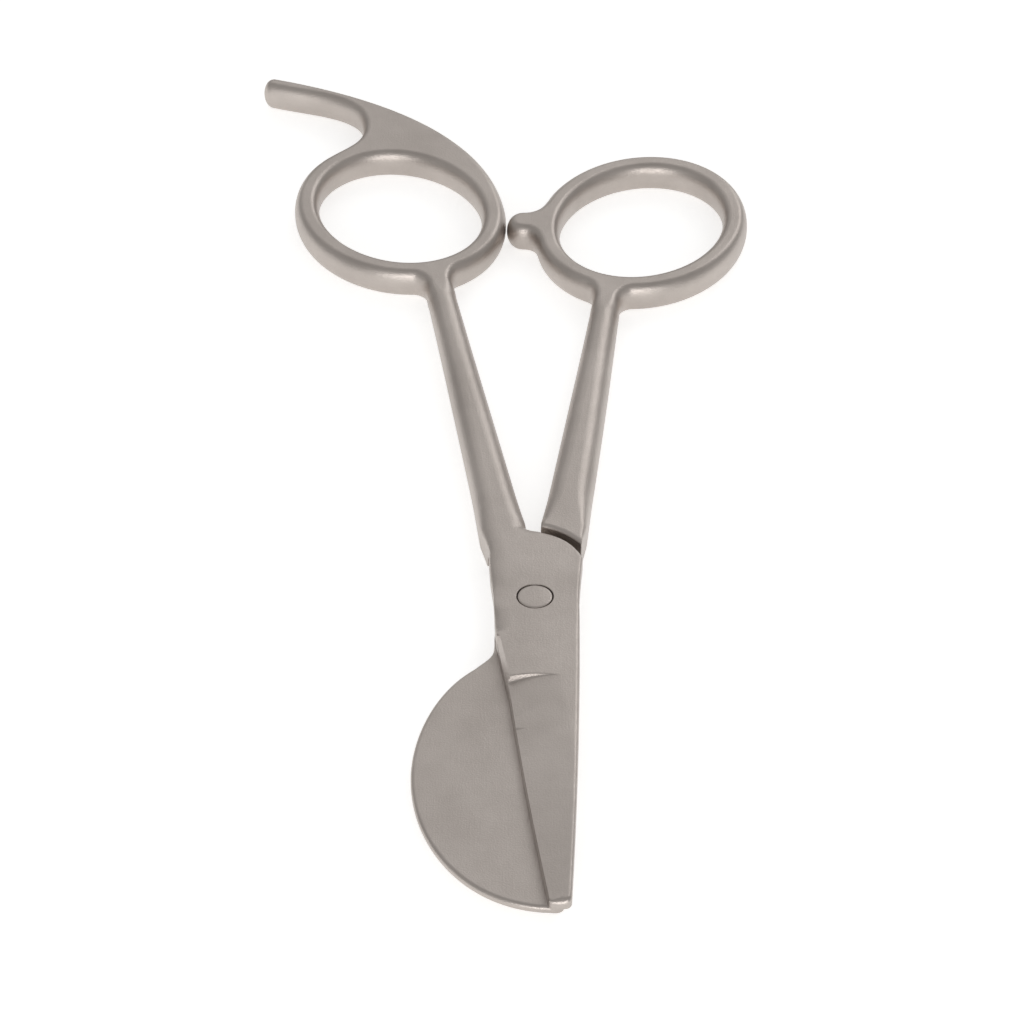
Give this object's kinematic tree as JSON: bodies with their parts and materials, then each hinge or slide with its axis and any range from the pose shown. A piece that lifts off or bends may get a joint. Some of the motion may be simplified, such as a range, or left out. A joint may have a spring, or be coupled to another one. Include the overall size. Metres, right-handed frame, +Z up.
{
  "type": "wick trimmer",
  "caption": "Closed steel trimming scissors with a broad duckbill blade, a straight blade, oval finger rings, a finger rest and a stop nub.",
  "frame": {"origin": "on the pivot axis, in the plane the scissors lie on", "axes": "+Y from the pivot to the finger rings, +Z up along the pivot axis out of the rivet's head, +X towards the thumb ring's side"},
  "size_m": [0.0681, 0.1695, 0.0044],
  "materials": {
    "duckbill_steel": "satin",
    "straight_steel": "satin",
    "rivet_steel": "satin, with a finely ground head"
  },
  "bodies": {
    "duckbill_side": {"duckbill_half": "duckbill_steel", "pivot_rivet": "rivet_steel"},
    "straight_side": {"straight_half": "straight_steel"}
  },
  "joints": [
    {"name": "pivot_hinge", "type": "hinge", "parent": "duckbill_side", "child": "straight_side", "pos_m": [0, 0, 0.0022], "axis": [0, 0, 1], "range_deg": [0, 65]}
  ]
}
